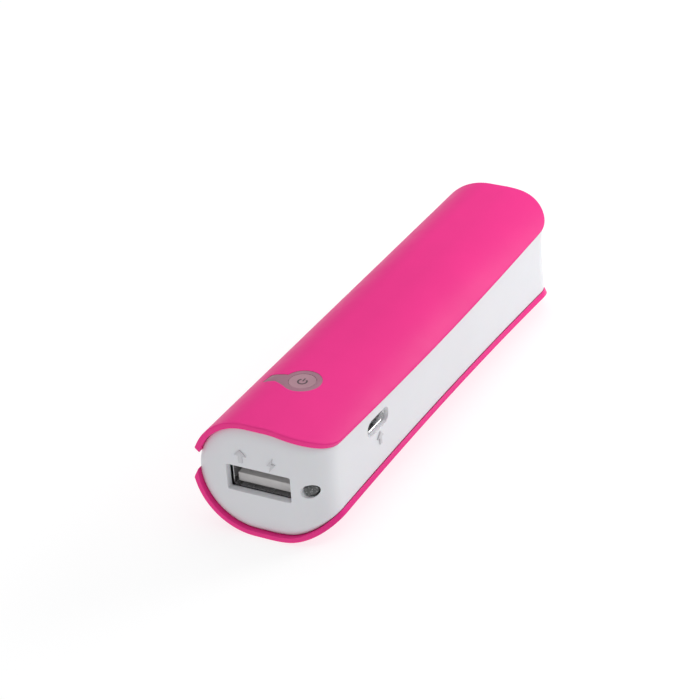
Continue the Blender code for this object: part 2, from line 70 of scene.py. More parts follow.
SLOT_OF = {part["node"]: part["material_slot"] for part in frame["record"]["subparts"]}

MM = 0.001

# Overall form, as in the CAD model
ROUND_RADIUS = 10.93
FLAT_WIDTH = 3.6
SHOULDER_RADIUS = 19.3
SAG_START_X = 6.0
SAG_AT_ENDS = 0.10
SAG_BOW = 1.45
SIDE_X = 14.65
CORNER_RADIUS = 7.5
BASE_LOW, BASE_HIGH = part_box("housing_base")
LENGTH = (BASE_HIGH.y - BASE_LOW.y) / MM
MIDDLE_Z = (CAD_BOUNDS[0].z + CAD_BOUNDS[1].z) / 2
ORIGIN = Vector((BASE_HIGH.x - SIDE_X * MM, BASE_LOW.y, MIDDLE_Z))

# Covers
COVER_OUT = 1.18
COVER_IN = 0.05
COVER_PROUD = 0.59
COVER_SIDE_X = 15.43
COVER_CORNER_RADIUS = 8.45
COVER_TIP_RADIUS = 0.45
COVER_LIP_Z = 7.25
COVER_LIP_BOW = 0.95
COVER_LIP_WIDTH = 0.75
COVER_FRONT_EDGE = (0.30, 0.30)
COVER_SIDE_EDGE = (0.30, 0.25)
COVER_LEFT_EDGE = (0.16, 0.16)
COVER_INNER_EDGE = 0.08
COVER_SLANT = 0.65
TOP_ENDS = (21.0, 18.9)
BOTTOM_ENDS = (9.3, 0.4)

# Housing
WALL = 1.4
PARTING_Z = 3.7
LID_REBATE = 0.25
FACE_ROUND = (0.65, 2.9)
SIDE_ROUND = (0.3, 0.35)
SIDE_HOLLOW = 0.30

# Window and button
BUTTON_X, BUTTON_Y = 2.4, 16.85
HEAD_RADIUS = 3.75
HEAD_LOW_ANGLE = -127
TAIL_Y = (15.3, 18.0)
TAIL_CORNERS_X = (-4.8, -4.4)
TAIL_CORNER_RADIUS = 0.6
WAIST_X = -2.6
BUTTON_RADIUS = 2.6
BUTTON_FOOT_Z = 8.9
BUTTON_TOP_Z = 12.05
BUTTON_EDGE = 0.08
BUTTON_DISH = 0.12
BUTTON_GAP = 0.04
WINDOW_BASE_Z = 10.5
WINDOW_DEPTH = 0.05
WINDOW_GAP = 0.02
SYMBOL_Z = (11.86, 11.97)

# Sockets and front light. The USB-A mouth is 0.15 mm narrower than in the CAD model, and the input's
# mouth and shell stand 0.4 mm further back and 0.18 mm lower.
USB_A_X, USB_A_Z = 1.55, -0.55
USB_A_MOUTH = (13.25, 5.3)
USB_A_SHELL = (13.1, 5.7)
USB_A_Y = (1.9, 13.3)
MICRO_Y, MICRO_Z = 22.8, 2.55
MICRO_MOUTH = (7.7, 2.8)
MICRO_SHELL = (7.45, 2.4)
MICRO_X = (8.9, 13.7)
LED_X, LED_Z = 11.45, -0.68
LED_RECESS = 0.4
LED_BACK_Y = 7.1
LED_RADIUS = 1.15
LED_HOLE_RADIUS = 1.4
CONTACT_SETBACK = 1.9

# Raised marks: their middles, and how far they stand into the wall and out of it
MARK_DEPTH = 0.36
FRONT_MARK_Y = 0.15
OUTPUT_ARROW_AT = (-1.8, 4.6)
CHARGE_BOLT_AT = (4.6, 4.2)
INPUT_ARROW_AT = (MICRO_Y + 0.4, -1.0)
INPUT_ARROW_X = SIDE_X - 0.4
INPUT_ARROW_SCALE = 0.95

FAR = 20.0


# ---------------------------------------------------------------- mesh helpers


def to_frame(point):
    """A design point in the frame's metres."""
    return ORIGIN + Vector(point) * MM


def piece_from(name, bm, smooth_angle=35):
    """Makes an object of a bmesh in design millimetres."""
    bmesh.ops.remove_doubles(bm, verts=bm.verts, dist=1e-4)
    bmesh.ops.recalc_face_normals(bm, faces=bm.faces)
    for vert in bm.verts:
        vert.co = to_frame(vert.co)
    mesh = bpy.data.meshes.new(name)
    bm.to_mesh(mesh)
    bm.free()
    mesh.shade_smooth()
    mesh.set_sharp_from_angle(angle=math.radians(smooth_angle))
    obj = bpy.data.objects.new(name, mesh)
    bpy.context.scene.collection.objects.link(obj)
    return obj


def skin(bm, rings, closed=True):
    """Faces between equal rings of points; a closed ring joins its last point to its first."""
    verts = [[bm.verts.new(point) for point in ring] for ring in rings]
    count = len(verts[0])
    for near, far in zip(verts, verts[1:]):
        for i in range(count if closed else count - 1):
            j = (i + 1) % count
            bm.faces.new((near[i], near[j], far[j], far[i]))
    return verts


def loft(name, rings, smooth_angle=35):
    bm = bmesh.new()
    verts = skin(bm, rings)
    bm.faces.new(verts[0])
    bm.faces.new(verts[-1])
    return piece_from(name, bm, smooth_angle)


def turned(name, profile, place, axis="Z", sides=64):
    """Turns (radius, height) points about an axis through place."""
    rings = []
    for radius, height in profile:
        ring = []
        for i in range(sides):
            angle = math.tau * i / sides
            across = (radius * math.cos(angle), radius * math.sin(angle))
            if axis == "Z":
                ring.append((place[0] + across[0], place[1] + across[1], place[2] + height))
            else:
                ring.append((place[0] + across[0], place[1] + height, place[2] + across[1]))
        rings.append(ring)
    return loft(name, rings)


PLACE_ON = {
    "X": lambda a, b, at: (at, a, b),
    "Y": lambda a, b, at: (a, at, b),
    "Z": lambda a, b, at: (a, b, at),
}


def prism(name, outline, axis, low, high):
    place = PLACE_ON[axis]
    return loft(name, [[place(a, b, at) for a, b in outline] for at in (low, high)])


def arc(centre, radius, start, end, steps):
    points = []
    for i in range(steps + 1):
        angle = math.radians(start + (end - start) * i / steps)
        points.append((centre[0] + radius * math.cos(angle), centre[1] + radius * math.sin(angle)))
    return points


def rounded(width, height, radius, centre=(0, 0), steps=6):
    points = []
    for sx, sy, start in ((1, 1, 0), (-1, 1, 90), (-1, -1, 180), (1, -1, 270)):
        corner = (centre[0] + sx * (width / 2 - radius), centre[1] + sy * (height / 2 - radius))
        points += arc(corner, radius, start, start + 90, steps)
    return points


def carve(obj, cutters, operation="DIFFERENCE"):
    """Applies a Boolean with each cutter in turn and removes the cutters."""
    for cutter in cutters:
        step = obj.modifiers.new(cutter.name, "BOOLEAN")
        step.operation = operation
        step.object = cutter
        step.solver = "EXACT"
    bake_modifiers(obj)
    for cutter in cutters:
        bpy.data.objects.remove(cutter, do_unlink=True)
    return obj


def bake_modifiers(obj, smooth_angle=35):
    graph = bpy.context.evaluated_depsgraph_get()
    mesh = bpy.data.meshes.new_from_object(obj.evaluated_get(graph))
    obj.modifiers.clear()
    obj.data = mesh
    mesh.shade_smooth()
    mesh.set_sharp_from_angle(angle=math.radians(smooth_angle))


def soften(obj, width, segments=3, angle=40):
    """Rounds the sharp edges by width millimetres."""
    step = obj.modifiers.new("soften", "BEVEL")
    step.width = width * MM
    step.segments = segments
    step.limit_method = "ANGLE"
    step.angle_limit = math.radians(angle)
    step.use_clamp_overlap = True
    step.harden_normals = False
    bake_modifiers(obj)
    return obj


# ---------------------------------------------------------------- section and plan


def bow(y):
    """1 in the middle of the length, falling to 0 at both ends."""
    along = min(1.0, abs(2 * y / LENGTH - 1))
    return 1 - along**2


def shoulder_z(x, y, out):
    """Height of the right shoulder, which sags most at the right edge of the middle."""
    across = max(0.0, (x - SAG_START_X) / (COVER_SIDE_X - SAG_START_X))
    sag = (SAG_AT_ENDS + SAG_BOW * bow(y)) * across**2
    round_z = math.sqrt((SHOULDER_RADIUS + out) ** 2 - (x - FLAT_WIDTH) ** 2)
    return ROUND_RADIUS - SHOULDER_RADIUS + round_z - sag


def section_point(girth, y, out):
    """A point of the upper section surface, moved out by out."""
    if girth < 0:
        angle = math.pi / 2 + girth / ROUND_RADIUS
        reach = ROUND_RADIUS + out
        return (-reach * math.cos(angle), y, reach * math.sin(angle))
    if girth <= FLAT_WIDTH:
        return (girth, y, ROUND_RADIUS + out)
    return (girth, y, shoulder_z(girth, y, out))


def girth_at(degrees):
    """Girth of the rounded side at an angle above the middle plane."""
    return ROUND_RADIUS * (math.radians(degrees) - math.pi / 2)


def mixed(a, b, share):
    return a + (b - a) * share


def eased(value):
    value = min(1.0, max(0.0, value))
    return value * value * (3 - 2 * value)


class Outline:
    """A rounded rectangle of girth and y, with its stations in order round it."""

    def __init__(self, left, right, front, back, radius, tip_radius=0.0, steps=(26, 18, 52)):
        self.left, self.right = left, right
        self.front, self.back = front, back
        self.radius, self.tip_radius = radius, tip_radius
        across, corner, along = steps
        start = max(left) + tip_radius
        inner = right - radius
        self.front_row = []
        if tip_radius:
            self.front_row += [("tip", math.radians(a), False) for a in (45, 60, 75)]
        for i in range(across):
            self.front_row.append(("front", mixed(start, inner, i / across), False))
        for i in range(corner + 1):
            self.front_row.append(("corner", math.pi / 2 * i / corner, False))
        self.back_row = [(kind, value, True) for kind, value, _ in self.front_row]
        low, high = front + radius, back - radius
        self.side_row = [("side", mixed(low, high, i / along), False) for i in range(1, along)]
        tips = [("tip", math.radians(a), False) for a in (30, 15, 0)] if tip_radius else []
        count = along - 2 * len(tips)
        low, high = front + tip_radius, back - tip_radius
        straight = [("left", mixed(low, high, i / count), False) for i in range(1, count)]
        mirrored = [(kind, value, True) for kind, value, _ in tips[::-1]]
        self.left_row = tips + straight + mirrored

    def edge(self, station, inset, depth_share=0.0):
        """Girth and y of a station, moved in from the edge."""
        kind, value, mirrored = station
        left = mixed(self.left[0], self.left[1], depth_share)
        if kind == "front":
            girth, y = value + (left - max(self.left)) * self.near_left(value), self.front + inset
        elif kind == "corner":
            reach = self.radius - inset
            girth = self.right - self.radius + reach * math.sin(value)
            y = self.front + self.radius - reach * math.cos(value)
        elif kind == "side":
            girth, y = self.right - inset, value
        elif kind == "tip":
            reach = max(self.tip_radius - inset, 0.02)
            girth = left + self.tip_radius - reach * math.cos(value)
            y = self.front + self.tip_radius - reach * math.sin(value)
        else:
            girth, y = left + inset, value
        return (girth, self.front + self.back - y) if mirrored else (girth, y)

    def near_left(self, girth):
        """1 at the left end, falling to 0 at the crown, so that a slanted end shifts its neighbours."""
        start = max(self.left) + self.tip_radius
        return min(1.0, max(0.0, girth / start)) if start < 0 else 0.0


def filled(outline, point_of):
    """Rows of points that fill an outline: blends its four sides. point_of gives a station's girth and y."""
    front = [point_of(s) for s in outline.front_row]
    back = [point_of(s) for s in outline.back_row]
    right = [front[-1]] + [point_of(s) for s in outline.side_row] + [back[-1]]
    left = [front[0]] + [point_of(s) for s in outline.left_row] + [back[0]]
    width = front[-1][0] - front[0][0]
    rows = []
    for j in range(len(left)):
        t = j / (len(left) - 1)
        row = []
        for i in range(len(front)):
            s = (front[i][0] - front[0][0]) / width
            point = []
            for k in (0, 1):
                ruled = mixed(front[i][k], back[i][k], t) + mixed(left[j][k], right[j][k], s)
                low = mixed(front[0][k], front[-1][k], s)
                high = mixed(back[0][k], back[-1][k], s)
                point.append(ruled - mixed(low, high, t))
            row.append(point)
        rows.append(row)
    return rows


# ---------------------------------------------------------------- housing


def housing_outline(inset=0.0, steps=(30, 20, 60)):
    tip = girth_at(0)
    return Outline(
        (tip, tip), SIDE_X - inset, inset, LENGTH - inset, CORNER_RADIUS - inset, steps=steps
    )


def side_share(station):
    """0 on the faces and the left edge, 1 on the right side, and eased between them round the corners."""
    kind, value, _ = station
    if kind == "corner":
        return eased(value / (math.pi / 2))
    return 1.0 if kind == "side" else 0.0


def rounding(station, face, side):
    """How far the rounding of the rim reaches in and down at a station."""
    share = side_share(station)
    return mixed(face[0], side[0], share), mixed(face[1], side[1], share), share


def body(name, outline, out, face, side, hollow=0.0, rim_steps=7, band_steps=18):
    """A closed body between the section surfaces, with a rounded rim and an upright band round it."""
    bm = bmesh.new()
    stations = outline.front_row + outline.side_row + outline.back_row[::-1]
    for sign in (1, -1):
        rings = []
        for k in range(rim_steps + 1):
            angle = math.pi / 2 * k / rim_steps
            ring = []
            for station in stations:
                reach, drop, _ = rounding(station, face, side)
                girth, y = outline.edge(station, reach * (1 - math.sin(angle)))
                lowered = drop * (1 - math.cos(angle))
                on_crown = girth < FLAT_WIDTH
                x, y, z = section_point(girth, y, out - lowered if on_crown else out)
                ring.append((x, y, sign * (z if on_crown else z - lowered)))
            rings.append(ring)
        skin(bm, rings, closed=False)
        rim = rings[-1]

        def inner(station):
            return outline.edge(station, 0.0 if station[0] == "left" else rounding(station, face, side)[0])

        rows = filled(outline, inner)
        grid = [[section_point(g, y, out) for g, y in row] for row in rows]
        skin(bm, [[(x, y, sign * z) for x, y, z in row] for row in grid], closed=False)
        if sign == 1:
            top = rim
    rings = []
    for m in range(band_steps + 1):
        share = math.cos(math.pi * m / band_steps)
        ring = []
        for station, (x, y, z) in zip(stations, top):
            weight = hollow * rounding(station, face, side)[2] * (1 - share * share)
            angle = {"front": 0.0, "side": math.pi / 2}.get(station[0], station[1])
            forward = 1 if station[2] else -1
            shift = (-weight * math.sin(angle), -forward * weight * math.cos(angle))
            ring.append((x + shift[0], y + shift[1], share * z))
        rings.append(ring)
    skin(bm, rings, closed=False)
    return piece_from(name, bm)


def flared(name, outline_at, axis, levels):
    """A cutter whose outline changes along its axis. levels holds (place, grow) pairs."""
    place = PLACE_ON[axis]
    return loft(name, [[place(a, b, at) for a, b in outline_at(grow)] for at, grow in levels])


def usb_a_opening(grow):
    width, height = USB_A_MOUTH
    centre = (USB_A_X, USB_A_Z + 0.1)
    return rounded(width + 2 * grow, height + 2 * grow, 0.35 + max(grow, 0), centre)


def micro_opening(grow):
    width, height = MICRO_MOUTH
    return rounded(width + 2 * grow, height + 2 * grow, 1.3 + grow, (MICRO_Y, MICRO_Z), 8)


def led_opening(grow):
    return arc((LED_X, LED_Z), LED_HOLE_RADIUS + grow, 0, 352.5, 47)


def lid_space(low_z, inset):
    """The space inside the upright walls and above the parting height."""
    wall = WALL - LID_REBATE + inset
    radius = CORNER_RADIUS - wall
    right = SIDE_X - wall
    outline = (
        [(-FAR, wall)]
        + arc((right - radius, wall + radius), radius, -90, 0, 16)
        + arc((right - radius, LENGTH - wall - radius), radius, 0, 90, 16)
        + [(-FAR, LENGTH - wall)]
    )
    return prism("lid_space", outline, "Z", low_z, FAR)


def make_housing():
    shell = body("white_tub", housing_outline(), 0.0, FACE_ROUND, SIDE_ROUND, SIDE_HOLLOW)
    coarse = (14, 8, 20)
    hollow = body("hollow", housing_outline(WALL, coarse), -WALL, (0.2, 0.2), (0.2, 0.2), 0.0, 2, 4)
    mouth = [(-2.0, 0.6), (-0.05, 0.12), (0.14, 0.0), (3.0, 0.0)]
    micro = [(FAR, 1.4), (SIDE_X - 0.15, 0.36), (SIDE_X - 0.80, 0.0), (SIDE_X - 3.0, 0.0)]
    led = [(-2.0, 0.22), (0.6, 0.16), (1.3, 0.0), (6.0, 0.0)]
    cutters = [
        hollow,
        lid_space(PARTING_Z, 0.0),
        flared("usb_a_cutter", usb_a_opening, "Y", mouth),
        flared("micro_cutter", micro_opening, "X", micro),
        flared("led_cutter", led_opening, "Y", led),
    ]
    carve(shell, cutters)
    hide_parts("housing_base")
    return shell


# ---------------------------------------------------------------- covers


def lip_drop(y):
    """How much lower the right-hand edge hangs than the cover's own thickness."""
    inside_z = shoulder_z(COVER_SIDE_X - COVER_LIP_WIDTH, y, COVER_IN)
    return max(0.0, inside_z - COVER_LIP_Z + COVER_LIP_BOW * bow(y))


def rim_rows(station, thickness, steps=6):
    """(inset, depth, lip share) round a cover's edge, from its outer skin to its inner one.

    The edge is upright in front and behind, and slants in towards the housing on the right.
    """
    reach, drop, share = rounding(station, COVER_FRONT_EDGE, COVER_SIDE_EDGE)
    if station[0] in ("tip", "left"):
        reach, drop = COVER_LEFT_EDGE
    inner = COVER_INNER_EDGE
    rows = []
    for k in range(steps + 1):
        angle = math.pi / 2 * k / steps
        rows.append((reach * (1 - math.sin(angle)), drop * (1 - math.cos(angle)), 0.0))
    for k in range(steps + 1):
        angle = math.pi / 2 * k / steps
        rows.append((inner * (1 - math.cos(angle)), thickness - inner * (1 - math.sin(angle)), 1.0))
    rows = [(inset + COVER_SLANT * share * depth / thickness, depth, lip) for inset, depth, lip in rows]
    rows.append((COVER_LIP_WIDTH, thickness, 1.0))
    rows.append((COVER_LIP_WIDTH + 0.16, thickness, 0.0))
    return rows


def make_cover(name, node, ends, sign):
    thickness = COVER_OUT - COVER_IN
    left = (girth_at(ends[0]), girth_at(ends[1]))
    outline = Outline(
        left, COVER_SIDE_X, -COVER_PROUD, LENGTH + COVER_PROUD, COVER_CORNER_RADIUS, COVER_TIP_RADIUS,
        (34, 22, 64),
    )
    stations = outline.front_row + outline.side_row + outline.back_row[::-1] + outline.left_row[::-1]

    def point(station, inset, depth, lip):
        girth, y = outline.edge(station, inset, depth / thickness)
        x, y, z = section_point(girth, y, COVER_OUT - depth)
        return (x, y, sign * (z - lip * side_share(station) * lip_drop(y)))

    def skin_edge(station, row):
        inset, depth, _ = rim_rows(station, thickness)[row]
        return outline.edge(station, inset, depth / thickness)

    bm = bmesh.new()
    columns = [[point(station, *row) for row in rim_rows(station, thickness)] for station in stations]
    skin(bm, [list(ring) for ring in zip(*columns)])
    for row, out in ((0, COVER_OUT), (-1, COVER_IN)):
        grid = filled(outline, lambda station: skin_edge(station, row))
        points = [[section_point(girth, y, out) for girth, y in line] for line in grid]
        skin(bm, [[(x, y, sign * z) for x, y, z in line] for line in points], closed=False)
    cover = piece_from(name, bm)
    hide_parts(node)
    return cover


def teardrop(grow):
    """Plan outline of the window: a round head with a short blunt tail to the left."""
    reach = HEAD_RADIUS + grow
    corner = TAIL_CORNER_RADIUS + grow
    low_corner = (TAIL_CORNERS_X[0], TAIL_Y[0] + TAIL_CORNER_RADIUS)
    high_corner = (TAIL_CORNERS_X[1], TAIL_Y[1] - TAIL_CORNER_RADIUS)
    meeting = math.degrees(math.asin((TAIL_Y[1] + grow - BUTTON_Y) / reach))
    return (
        arc((BUTTON_X, BUTTON_Y), reach, 180 - meeting, HEAD_LOW_ANGLE, 56)
        + [(WAIST_X, TAIL_Y[0] - grow)]
        + arc(low_corner, corner, 270, 195, 8)
        + arc(high_corner, corner, 160, 90, 8)
    )


def make_covers():
    top = make_cover("top_cover_skin", "top_cover", TOP_ENDS, 1)
    opening = flared("window_cutter", teardrop, "Z", [(5.0, 0.0), (14.0, 0.0)])
    carve(top, [opening])
    bottom = make_cover("bottom_cover_skin", "bottom_cover", BOTTOM_ENDS, -1)
    return top, bottom


# ---------------------------------------------------------------- window and button


def make_window():
    insert = prism("window_insert", teardrop(-WINDOW_GAP), "Z", WINDOW_BASE_Z, FAR)
    out = COVER_OUT - WINDOW_DEPTH
    surface = body("window_surface", housing_outline(), out, (0.1, 0.1), (0.1, 0.1))
    carve(insert, [surface], "INTERSECT")
    hole = arc((BUTTON_X, BUTTON_Y), BUTTON_RADIUS + BUTTON_GAP, 0, 354, 59)
    carve(insert, [prism("button_cutter", hole, "Z", 5.0, FAR)])
    soften(insert, 0.06)
    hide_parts("indicator_window")
    return insert


def make_button():
    """The round cap, slightly dished, with its skirt, flange and plunger."""
    top = BUTTON_TOP_Z - BUTTON_FOOT_Z
    profile = [(1.4, 0.0), (1.4, 0.78), (3.1, 0.78), (3.1, 1.38), (BUTTON_RADIUS, 1.38)]
    for i in range(7):
        angle = math.pi / 2 * i / 6
        radius = BUTTON_RADIUS - BUTTON_EDGE * (1 - math.cos(angle))
        profile.append((radius, top - BUTTON_EDGE * (1 - math.sin(angle))))
    for i in range(1, 9):
        radius = (BUTTON_RADIUS - BUTTON_EDGE) * (1 - i / 9)
        profile.append((radius, top - BUTTON_DISH * (1 - (radius / BUTTON_RADIUS) ** 2)))
    cap = turned("button_cap", profile, (BUTTON_X, BUTTON_Y, BUTTON_FOOT_Z))
    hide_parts("power_button")
    return cap


def make_power_symbol():
    """A generic power symbol on the button: an open ring with a bar through its gap."""
    low, high = SYMBOL_Z
    outer = arc((BUTTON_X, BUTTON_Y), 1.0, 130, 410, 30)
    inner = arc((BUTTON_X, BUTTON_Y), 0.68, 410, 130, 30)
    ring = prism("power_symbol_ring", outer + inner, "Z", low, high)
    bar = [(-0.13, 0.15), (0.13, 0.15), (0.13, 1.15), (-0.13, 1.15)]
    bar = prism("power_symbol_bar", [(BUTTON_X + x, BUTTON_Y + y) for x, y in bar], "Z", low, high)
    return ring, bar


# ---------------------------------------------------------------- sockets


def make_usb_a():
    width, height = USB_A_SHELL
    centre = (USB_A_X, USB_A_Z)
    front, back = USB_A_Y
    walls = [(back, 0.0), (front + 0.12, 0.0), (front + 0.03, 0.03), (front, 0.12), (front + 0.05, 0.24)]
    walls += [(front + 0.35, 0.3), (back - 0.3, 0.3)]
    rings = []
    for y, inset in walls:
        outline = rounded(width - 2 * inset, height - 2 * inset, 0.5 - 0.6 * inset, centre)
        rings.append([(x, y, z) for x, z in outline])
    shell = loft("usb_a_can", rings, 50)
    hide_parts("usb_a_shell")
    return shell


def make_micro_usb():
    """A drawn shell with the input's trapezoid mouth."""
    width, height = MICRO_SHELL
    back, front = MICRO_X

    def outline(inset):
        half_y, half_z = width / 2 - inset, height / 2 - inset
        taper = 1.0 - 0.4 * inset
        corners = [
            (half_y, half_z), (-half_y, half_z), (-half_y, -half_z + taper),
            (-half_y + taper, -half_z), (half_y - taper, -half_z), (half_y, -half_z + taper),
        ]
        points = []
        for i, corner in enumerate(corners):
            before, after = Vector(corners[i - 1]), Vector(corners[(i + 1) % len(corners)])
            corner = Vector(corner)
            first = corner + (before - corner).normalized() * 0.3
            last = corner + (after - corner).normalized() * 0.3
            for t in (0.0, 0.25, 0.5, 0.75, 1.0):
                points.append(first.lerp(corner, t).lerp(corner.lerp(last, t), t))
        return [(MICRO_Y + p.x, MICRO_Z + p.y) for p in points]

    walls = [(back, 0.0), (front - 0.1, 0.0), (front - 0.02, 0.03), (front, 0.1), (front - 0.03, 0.2)]
    walls += [(front - 0.2, 0.28), (back + 0.3, 0.28)]
    rings = [[(x, y, z) for y, z in outline(inset)] for x, inset in walls]
    shell = loft("micro_usb_can", rings, 50)
    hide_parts("micro_usb_shell")
    return shell


def make_front_led():
    """A clear light whose nose follows the round corner of the housing, a little way in."""
    rings = []
    for radius, depth in ((0.2, 0.0), (0.5, 0.02), (0.8, 0.06), (1.0, 0.14), (1.1, 0.24), (LED_RADIUS, 0.4)):
        ring = []
        for x, z in arc((LED_X, LED_Z), radius, 0, 351, 39):
            across = max(0.0, x - SIDE_X + CORNER_RADIUS)
            surface_y = CORNER_RADIUS - math.sqrt(CORNER_RADIUS**2 - across**2)
            ring.append((x, surface_y + LED_RECESS + depth, z))
        rings.append(ring)
    for y, radius in ((LED_BACK_Y - 0.05, LED_RADIUS), (LED_BACK_Y, LED_RADIUS - 0.05)):
        rings.append([(x, y, z) for x, z in arc((LED_X, LED_Z), radius, 0, 351, 39)])
    led = loft("front_led_lens", rings)
    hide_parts("front_led")
    return led


# ---------------------------------------------------------------- inner pieces

FINE_EDGES = {
    "housing_lid": 0.08,
    "bulkhead": 0.12,
    "circuit_board": 0.04,
    "usb_a_tongue": 0.10,
    "micro_usb_tongue": 0.05,
    "charger_chip": 0.10,
    "boost_chip": 0.10,
    "inductor": 0.25,
    "capacitor_1": 0.10,
    "capacitor_2": 0.10,
    "capacitor_3": 0.10,
    "status_led": 0.08,
    "switch_base": 0.10,
    "switch_cover": 0.05,
    "switch_stem": 0.08,
    "board_screw_1": 0.10,
    "board_screw_2": 0.10,
    "front_led_leg_1": 0.06,
    "front_led_leg_2": 0.06,
    "positive_tab": 0.03,
    "negative_tab": 0.03,
    "cell_can": 0.15,
    "cell_end_ring": 0.04,
    "cell_film": 0.04,
    "cell_positive_cap": 0.10,
    "cell_seal": 0.15,
    "cell_winding": 0.10,
    "foam_pad": 0.25,
}


def design_box(node):
    return [(corner - ORIGIN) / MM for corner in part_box(node)]


def make_fine(node, width):
    """A copy of a CAD node with its flat faces merged and its sharp edges rounded."""
    source = NODES[node]
    bm = bmesh.new()
    bm.from_mesh(source.data)
    bm.transform(source.matrix_world)
    bmesh.ops.remove_doubles(bm, verts=bm.verts, dist=1e-6)
    edges, verts = bm.edges[:], bm.verts[:]
    bmesh.ops.dissolve_limit(bm, angle_limit=math.radians(1), edges=edges, verts=verts)
    mesh = bpy.data.meshes.new(f"{node}_fine")
    bm.to_mesh(mesh)
    bm.free()
    obj = bpy.data.objects.new(f"{node}_fine", mesh)
    bpy.context.scene.collection.objects.link(obj)
    soften(obj, width, 2)
    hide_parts(node)
    return obj


def make_contact(node, axis):
    """A plated contact strip with rounded edges. Those of the USB-A socket are set back from its mouth."""
    low, high = design_box(node)
    if axis == "Y":
        near, far, start, end = low.x, high.x, low.y + CONTACT_SETBACK, high.y
    else:
        near, far, start, end = low.y, high.y, low.x, high.x
    outline = [(near, low.z), (far, low.z), (far, high.z), (near, high.z)]
    strip = prism(f"{node}_fine", outline, axis, start, end)
    soften(strip, 0.03, 2)
    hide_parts(node)
    return strip


def make_pins(node):
    """Four gull-wing legs along both sides of a chip, down to the board."""
    low, high = design_box(node)
    middle = (low.z + high.z) / 2
    bm = bmesh.new()
    for side, x in ((-1, low.x), (1, high.x)):
        for i in range(4):
            y = low.y + (high.y - low.y) * (i + 0.5) / 4
            foot, sole = low.z + 0.08, low.z - 0.04
            path = [(0.02, middle), (0.30, middle), (0.38, foot), (0.75, foot)]
            path += [(0.75, sole), (0.26, sole), (0.18, middle - 0.12), (0.02, middle - 0.12)]
            rings = [[(x + side * reach, at, z) for reach, z in path] for at in (y - 0.2, y + 0.2)]
            verts = skin(bm, rings)
            bm.faces.new(verts[0])
            bm.faces.new(verts[1])
    return piece_from(f"{node}_pins", bm)


def make_end_caps(node):
    """The plated ends of a ceramic capacitor."""
    low, high = design_box(node)
    grow = 0.03
    bm = bmesh.new()
    outline = rounded(high.y - low.y + 2 * grow, high.z - low.z + 2 * grow, 0.12)
    middle = (low + high) / 2
    for start, end in ((low.x - grow, low.x + 0.5), (high.x - 0.5, high.x + grow)):
        rings = [[(x, middle.y + y, middle.z + z) for y, z in outline] for x in (start, end)]
        verts = skin(bm, rings)
        bm.faces.new(verts[0])
        bm.faces.new(verts[1])
    return piece_from(f"{node}_ends", bm)


# ---------------------------------------------------------------- moulded marks


def raised_mark(name, outline, axis, at, height):
    mark = prism(name, outline, axis, at, at + height)
    soften(mark, min(abs(height) * 0.45, 0.05), 2)
    return mark


def make_marks():
    """A generic arrow and bolt by the output, and a generic arrow by the input."""
    arrow = [(-0.42, -1.4), (0.42, -1.4), (0.42, 0.1), (1.25, 0.1), (0.0, 1.4), (-1.25, 0.1)]
    arrow.append((-0.42, 0.1))
    bolt = [(0.45, 1.5), (-0.95, -0.25), (-0.15, -0.25), (-0.45, -1.5), (0.95, 0.25), (0.15, 0.25)]
    outward = [(OUTPUT_ARROW_AT[0] + x, OUTPUT_ARROW_AT[1] + z) for x, z in arrow]
    charge = [(CHARGE_BOLT_AT[0] + x, CHARGE_BOLT_AT[1] + z) for x, z in bolt]
    scale = INPUT_ARROW_SCALE
    inward = [(INPUT_ARROW_AT[0] + scale * y, INPUT_ARROW_AT[1] + scale * z) for y, z in arrow]
    return (
        raised_mark("output_arrow", outward, "Y", FRONT_MARK_Y, -MARK_DEPTH),
        raised_mark("charge_bolt", charge, "Y", FRONT_MARK_Y, -MARK_DEPTH),
        raised_mark("input_arrow", inward, "X", INPUT_ARROW_X, MARK_DEPTH),
    )


# ---------------------------------------------------------------- materials


def ramp(tree, source, low, high, from_low=0.3, from_high=0.7):
    node = tree.nodes.new("ShaderNodeMapRange")
    node.inputs["From Min"].default_value = from_low
    node.inputs["From Max"].default_value = from_high
    node.inputs["To Min"].default_value = low
    node.inputs["To Max"].default_value = high
    tree.links.new(source, node.inputs["Value"])
    return node.outputs["Result"]


def noise(tree, scale, detail=3.0, stretch=None):
    """Noise in object space. scale is in cycles per metre."""
    coords = tree.nodes.new("ShaderNodeTexCoord").outputs["Object"]
    if stretch:
        mapping = tree.nodes.new("ShaderNodeMapping")
        mapping.inputs["Scale"].default_value = stretch
        tree.links.new(coords, mapping.inputs["Vector"])
        coords = mapping.outputs["Vector"]
    node = tree.nodes.new("ShaderNodeTexNoise")
    node.inputs["Scale"].default_value = scale
    node.inputs["Detail"].default_value = detail
    tree.links.new(coords, node.inputs["Vector"])
    return node.outputs["Fac"]


def blended(tree, factor, first, second):
    """Mixes two colours, each given as three numbers or as a socket."""
    node = tree.nodes.new("ShaderNodeMix")
    node.data_type = "RGBA"
    colours = [s for s in node.inputs if s.type == "RGBA"]
    for socket, value in zip(colours, (first, second)):
        if isinstance(value, tuple):
            socket.default_value = (*value, 1.0)
        else:
            tree.links.new(value, socket)
    tree.links.new(factor, node.inputs["Factor"])
    return next(s for s in node.outputs if s.type == "RGBA")


def shaded(colour, factor):
    return tuple(min(1.0, c * factor) for c in colour)


